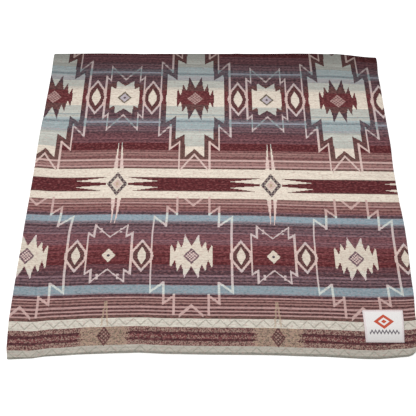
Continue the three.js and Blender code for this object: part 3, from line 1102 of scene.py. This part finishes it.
def makeMesh(name, points, quads, maps):
    # A smooth mesh from arrays. maps holds one (u, v) pair per face corner for each UV map.
    mesh = bpy.data.meshes.new(name)
    mesh.vertices.add(len(points))
    mesh.vertices.foreach_set("co", points.astype(np.float32).ravel())
    mesh.loops.add(quads.size)
    mesh.loops.foreach_set("vertex_index", quads.astype(np.int32).ravel())
    mesh.polygons.add(len(quads))
    mesh.polygons.foreach_set("loop_start", np.arange(0, quads.size, 4, dtype=np.int32))
    mesh.update(calc_edges=True)
    mesh.polygons.foreach_set("use_smooth", np.ones(len(quads), bool))
    for mapName, corners in maps.items():
        layer = mesh.uv_layers.new(name=mapName)
        layer.data.foreach_set("uv", corners.astype(np.float32).ravel())
    mesh.validate()
    piece = bpy.data.objects.new(name, mesh)
    bpy.context.scene.collection.objects.link(piece)
    return piece


def stretchedMap(rows, columns, weightRows, weightColumns):
    # Even corners of a grid in a unit square, where a heavier step takes more room.
    s = np.concatenate([[0], np.cumsum(weightRows)])
    t = np.concatenate([[0], np.cumsum(weightColumns)])
    return np.meshgrid(t / t[-1], s / s[-1])


def makeCloth():
    (outer, inner), u, v = clothSurface()
    rows, columns = u.shape
    outerIndex = np.arange(rows * columns).reshape(rows, columns)
    innerIndex = outerIndex.copy()
    inside = (rows - 2) * (columns - 2)
    innerIndex[1:-1, 1:-1] = rows * columns + np.arange(inside).reshape(rows - 2, columns - 2)
    points = np.concatenate([outer.reshape(-1, 3), inner[1:-1, 1:-1].reshape(-1, 3)])
    quads = np.concatenate([gridFaces(outerIndex, True), gridFaces(innerIndex)])
    flat = np.stack([u, v], -1).reshape(-1, 2)
    gridIndex = gridFaces(outerIndex, True)
    gridBack = gridFaces(outerIndex)
    # The bake's own map gives the upper face of the top leg the most room.
    kind = acrossSamples()[0]
    place = alongSamples()[0]
    bake = cloth["bakeRoom"]
    ring = outer[bake["ring"]]
    acrossStep = np.where(kind[1:] == 0, 1, bake["lowerPly"]) * np.hypot(*np.diff([ring[:, 0], ring[:, 2]]))
    alongStep = np.where(place[1:] <= bake["topEnd"], 1, bake["lowerLegs"]) * np.diff(alongCloth(place))
    s, t = stretchedMap(rows, columns, alongStep + 1e-5, acrossStep + 1e-5)
    main = np.stack([0.002 + 0.896 * s, 0.002 + 0.996 * t], -1).reshape(-1, 2)
    spare = np.stack([0.902 + 0.096 * s, 0.002 + 0.996 * t], -1).reshape(-1, 2)
    maps = {
        "weave": np.concatenate([flat[gridIndex], flat[gridBack]]),
        "OFBake": np.concatenate([main[gridIndex], spare[gridBack]]),
    }
    piece = makeMesh("woven_blanket", points, quads, maps)
    print("cloth:", len(quads) * 2, "triangles")
    return piece


blanket = makeCloth()
blanket.data.materials.append(makeClothMaterial())
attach(blanket, "root")
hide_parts("blanket_cloth")

label = {
    # Corners from the hem line, in millimetres: near left, near right, far left, far right.
    "corners": ((307.5, 25.5), (386.5, 25), (304.5, 90.5), (389, 90.5)),
    "size": (82, 65.3),
    "lift": 0.5,  # from the cloth's middle face to the ribbon's lower one
    "thick": 0.55,
    "pucker": 0.16,  # how far the ribbon sinks at each stitch
    "steps": (64, 52),
    "puckerReach": 1.1,
    "ripple": 0.4,  # how much the pucker changes from stitch to stitch
    "billow": 0.12,
    "edgeRound": 0.8,
    "edgeWide": 4.2,  # the woven edge
    "ribStep": 0.9,
    # The concentric diamonds' reach and the place of their middle, a share of the height.
    "diamonds": ((21, 14.5), (11.76, 8.12), (5.88, 4.06)),
    "diamondHigh": 0.63,
    "zigzag": {"half": 31, "step": 7.4, "tall": 6.4, "thick": 2.2, "high": 0.27},
    "lowTone": 0.78,  # the ribbon's near half is a little greyer
    "sewnIn": 2.2,  # the seam's distance from the ribbon's edge
    "stitchEvery": 3.4,
    "stitchLong": 2.3,
    "stitchSteps": (7, 8),  # rings and sides
    "stitchRise": 0.34,
    "stitchProud": 0.08,
    "threadWide": 0.42,
    "twist": 0.3,
}


def labelPoint(s, t, lift):
    # s and t run over the corners' four-sided face; the point stands lift over the cloth's middle.
    nearLeft, nearRight, farLeft, farRight = (np.array(corner) / 1000 for corner in label["corners"])
    s, t = s[..., None], t[..., None]
    flat = (nearLeft * (1 - s) + nearRight * s) * (1 - t) + (farLeft * (1 - s) + farRight * s) * t
    x, y = flat[..., 0], flat[..., 1]
    reach = 0.0005
    slope = (topHeight(x, y + reach) - topHeight(x, y - reach)) / (2 * reach)
    out = (pairHalf + lift / 1000) / np.hypot(1, slope)
    return np.stack([x, cloth["hemLine"] + y - slope * out, topHeight(x, y) + out], -1)


def seamPlaces():
    # Middles and directions of the stitches round the label, in millimetres from its near left corner.
    wide, tall = label["size"]
    inset, every = label["sewnIn"], label["stitchEvery"]
    acrossCount = round((wide - 2 * inset) / every)
    alongCount = round((tall - 2 * inset) / every)
    acrossAt = inset + (np.arange(acrossCount) + 0.5) * (wide - 2 * inset) / acrossCount
    alongAt = inset + (np.arange(alongCount) + 0.5) * (tall - 2 * inset) / alongCount
    sides = [
        np.stack([acrossAt, 0 * acrossAt + inset, 1 + 0 * acrossAt, 0 * acrossAt], -1),
        np.stack([acrossAt, 0 * acrossAt + tall - inset, 1 + 0 * acrossAt, 0 * acrossAt], -1),
        np.stack([0 * alongAt + inset, alongAt, 0 * alongAt, 1 + 0 * alongAt], -1),
        np.stack([0 * alongAt + wide - inset, alongAt, 0 * alongAt, 1 + 0 * alongAt], -1),
    ]
    return np.concatenate(sides)


def makeLabel():
    # A closed ribbon. It sinks by pucker * exp(-(d / puckerReach)^2) at a distance d from its seam.
    wide, tall = label["size"]
    countAcross, countAlong = label["steps"]
    s, t = np.meshgrid(np.linspace(0, 1, countAcross + 1), np.linspace(0, 1, countAlong + 1))
    fromEdge = np.minimum(np.minimum(s, 1 - s) * wide, np.minimum(t, 1 - t) * tall)
    wave = np.cos(2 * np.pi * (s * wide + t * tall) / label["stitchEvery"])
    ripple = 1 - label["ripple"] + label["ripple"] * wave
    fromSeam = (fromEdge - label["sewnIn"]) / label["puckerReach"]
    sunk = label["pucker"] * ripple * np.exp(-(fromSeam**2))
    raised = label["billow"] * np.sin(5.1 * s + 1.2) * np.sin(4.3 * t + 0.4)
    rounded = np.sqrt(1 - (1 - np.clip(fromEdge / label["edgeRound"], 0, 1)) ** 2)
    middle = label["lift"] + label["thick"] / 2
    top = labelPoint(s, t, middle + label["thick"] / 2 * rounded - sunk + raised)
    under = labelPoint(s, t, middle - label["thick"] / 2 * rounded)
    shape = s.shape
    topIndex = np.arange(s.size).reshape(shape)
    underIndex = topIndex.copy()
    underIndex[1:-1, 1:-1] = s.size + np.arange((shape[0] - 2) * (shape[1] - 2)).reshape(shape[0] - 2, -1)
    points = np.concatenate([top.reshape(-1, 3), under[1:-1, 1:-1].reshape(-1, 3)])
    quads = np.concatenate([gridFaces(topIndex, True), gridFaces(underIndex)])
    flat = np.stack([s * wide / 1000, t * tall / 1000], -1).reshape(-1, 2)
    baked = np.stack([0.01 + 0.6 * s, 0.01 + 0.98 * t], -1).reshape(-1, 2)
    spare = np.stack([0.63 + 0.36 * s, 0.01 + 0.98 * t], -1).reshape(-1, 2)
    gridTop, gridUnder = gridFaces(topIndex, True), gridFaces(topIndex)
    return makeMesh("label_ribbon", points, quads, {
        "weave": np.concatenate([flat[gridTop], flat[gridUnder]]),
        "OFBake": np.concatenate([baked[gridTop], spare[gridUnder]]),
    })


def makeStitches():
    # Each stitch is a thread of round section, radius * sqrt(1 - k^2) at k from its middle, that
    # rises out of the ribbon and goes back in: its lift falls by stitchRise * k^2.
    places = seamPlaces()
    wide, tall = label["size"]
    rings, sides = label["stitchSteps"]
    k = np.linspace(-1, 1, rings)
    angle = np.arange(sides) * 2 * np.pi / sides
    radius = label["threadWide"] / 2 * np.sqrt(np.clip(1 - k**2, 0.0025, 1))
    alongStitch = (k * label["stitchLong"] / 2)[None, :, None]
    across = (radius[:, None] * np.cos(angle)[None, :])[None]
    up = (radius[:, None] * np.sin(angle)[None, :] - (label["stitchRise"] * k**2)[:, None])[None]
    px, py, dx, dy = (places[:, i][:, None, None] for i in range(4))
    x = px + dx * alongStitch - dy * across
    y = py + dy * alongStitch + dx * across
    top = label["lift"] + label["thick"] - label["pucker"] + label["stitchProud"]
    points = labelPoint(x / wide, y / tall, top + up + 0 * x)
    count = len(places)
    index = np.arange(count * rings * sides).reshape(count, rings, sides)
    a, b = index[:, :-1], index[:, 1:]
    quads = np.stack([a, b, np.roll(b, -1, 2), np.roll(a, -1, 2)], -1).reshape(-1, 4)
    ends = [np.stack([cap[:, 0], cap[:, i], cap[:, i + 1], cap[:, i + 2]], -1)[:, ::turn]
            for cap, turn in ((index[:, 0], 1), (index[:, -1], -1)) for i in (1, 3, 5)]
    quads = np.concatenate([quads] + [part.reshape(-1, 4) for part in ends])
    flat = np.stack([x / 1000, y / 1000], -1).reshape(-1, 2)
    bakedX = (places[:, 0][:, None, None] + 0 * x) / wide
    baked = np.stack([bakedX, y / tall], -1).reshape(-1, 2)
    maps = {"weave": flat[quads], "OFBake": baked[quads]}
    return makeMesh("label_stitches", points.reshape(-1, 3), quads, maps)


def makeLabelMaterial():
    # Off-white ribbon with a woven edge, one plain diamond and one zigzag line.
    material, kit, shader, parts, relief = makeMaterial("wovenRibbon", threadGroup, finishes["ribbon"])
    calc = kit.calc
    wide, tall = label["size"]
    fromMiddle = calc("ABSOLUTE", calc("MULTIPLY_ADD", parts.outputs[0], 1000, -wide / 2))
    up = calc("MULTIPLY", parts.outputs[1], 1000)
    outward = calc("SUBTRACT", fromMiddle, wide / 2), calc("SUBTRACT", kit.away(up, tall / 2), tall / 2)
    edge = kit.over(calc("MAXIMUM", *outward), -label["edgeWide"])
    ribs = calc("PINGPONG", calc("ADD", fromMiddle, up), label["ribStep"])
    ribbed = kit.blend(ribs, linear("ribbonEdge"), linear("ribbonWhite"))
    colour = kit.blend(edge, linear("ribbonWhite"), ribbed)
    high = kit.away(up, tall * label["diamondHigh"])
    outer, inner, core = label["diamonds"]
    ring = kit.ringed(fromMiddle, high, outer, inner)[1]
    colour = kit.dye(colour, kit.either(ring, kit.diamond(fromMiddle, high, *core)), "rust")
    zigzag = label["zigzag"]
    zig = calc("PINGPONG", fromMiddle, zigzag["step"] / 2)
    wave = kit.sloped(zig, zigzag["tall"] / zigzag["step"] * 2, tall * zigzag["high"])
    zigMask = kit.both(kit.under(fromMiddle, zigzag["half"]), calc("COMPARE", up, wave, zigzag["thick"]))
    colour = kit.dye(colour, zigMask, "slate")
    # lowTone at the near edge, rising evenly to 1 halfway up.
    low = label["lowTone"]
    fade = kit.clamped(kit.sloped(up, (1 - low) / (tall / 2), low))
    # The threads' Shade is painted shade between threads, multiplied into the base colour.
    colour = kit.toned(colour, calc("MULTIPLY", relief.outputs["Shade"], fade))
    kit.put(shader.inputs["Base Color"], colour)
    return material


def makeThreadMaterial():
    # Sewing thread: a twist of two strands, seen as slanted bands of light and shade.
    material, kit, shader, parts, _ = makeMaterial("sewingThread", threadGroup, finishes["ribbon"])
    calc = kit.calc
    slanted = calc("MULTIPLY", calc("ADD", parts.outputs[0], parts.outputs[1]), 1000)
    share = calc("MULTIPLY", calc("PINGPONG", slanted, label["twist"]), 1 / label["twist"])
    kit.put(shader.inputs["Base Color"], kit.blend(share, linear("oat"), linear("ribbonWhite")))
    return material


ribbon = makeLabel()
ribbon.data.materials.append(makeLabelMaterial())
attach(ribbon, "root")
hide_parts("sewn_label")
stitches = makeStitches()
stitches.data.materials.append(makeThreadMaterial())
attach(stitches, "root")
print("label:", len(ribbon.data.polygons), "faces and", len(stitches.data.polygons), "in its stitches")


room = {
    "floorSize": 60,
    "floorTone": (0.94, 0.94, 0.94),
    "floorGlow": 0.5,
    "skyStrength": 0.51,
    "skySeen": 0.95,  # where the camera looks past the floor
    # Soft boxes: place, the point each faces, side and power.
    "lights": (
        {"name": "softboxAbove", "place": (0.02, 0.02, 1.2), "size": 0.9, "power": 8.5},
        {"name": "softboxSide", "place": (-1.9, -0.7, 1.5), "size": 1.3, "power": 12},
    ),
}


def makeRoom():
    # A wide pale floor, an even sky and soft boxes that face the stack.
    side = room["floorSize"] / 2
    corners = [(-side, -side, 0), (side, -side, 0), (side, side, 0), (-side, side, 0)]
    mesh = bpy.data.meshes.new("floor")
    mesh.from_pydata(corners, [], [(0, 1, 2, 3)])
    floor = bpy.data.objects.new("floor", mesh)
    bpy.context.scene.collection.objects.link(floor)
    material = bpy.data.materials.new("paleFloor")
    material.use_nodes = True
    shader = material.node_tree.nodes["Principled BSDF"]
    shader.inputs["Base Color"].default_value = (*room["floorTone"], 1)
    shader.inputs["Roughness"].default_value = 0.9
    shader.inputs["Specular IOR Level"].default_value = 0.1
    shader.inputs["Emission Color"].default_value = (1, 1, 1, 1)
    shader.inputs["Emission Strength"].default_value = room["floorGlow"]
    mesh.materials.append(material)
    world = bpy.data.worlds.new("studio")
    bpy.context.scene.world = world
    world.use_nodes = True
    kit = nodeKit(world.node_tree)
    sky = world.node_tree.nodes["Background"]
    sky.inputs["Color"].default_value = (1, 1, 1, 1)
    seen = world.node_tree.nodes.new("ShaderNodeLightPath").outputs["Is Camera Ray"]
    added = room["skySeen"] - room["skyStrength"]
    kit.put(sky.inputs["Strength"], kit.calc("MULTIPLY_ADD", seen, added, room["skyStrength"]))
    for light in room["lights"]:
        lamp = bpy.data.objects.new(light["name"], bpy.data.lights.new(light["name"], "AREA"))
        bpy.context.scene.collection.objects.link(lamp)
        lamp.data.shape = "DISK"
        lamp.data.size = light["size"]
        lamp.data.energy = light["power"]
        lamp.location = light["place"]
        lamp.rotation_euler = (-Vector(light["place"])).to_track_quat("-Z", "Y").to_euler()
    bpy.context.scene.view_settings.view_transform = "Standard"


makeRoom()
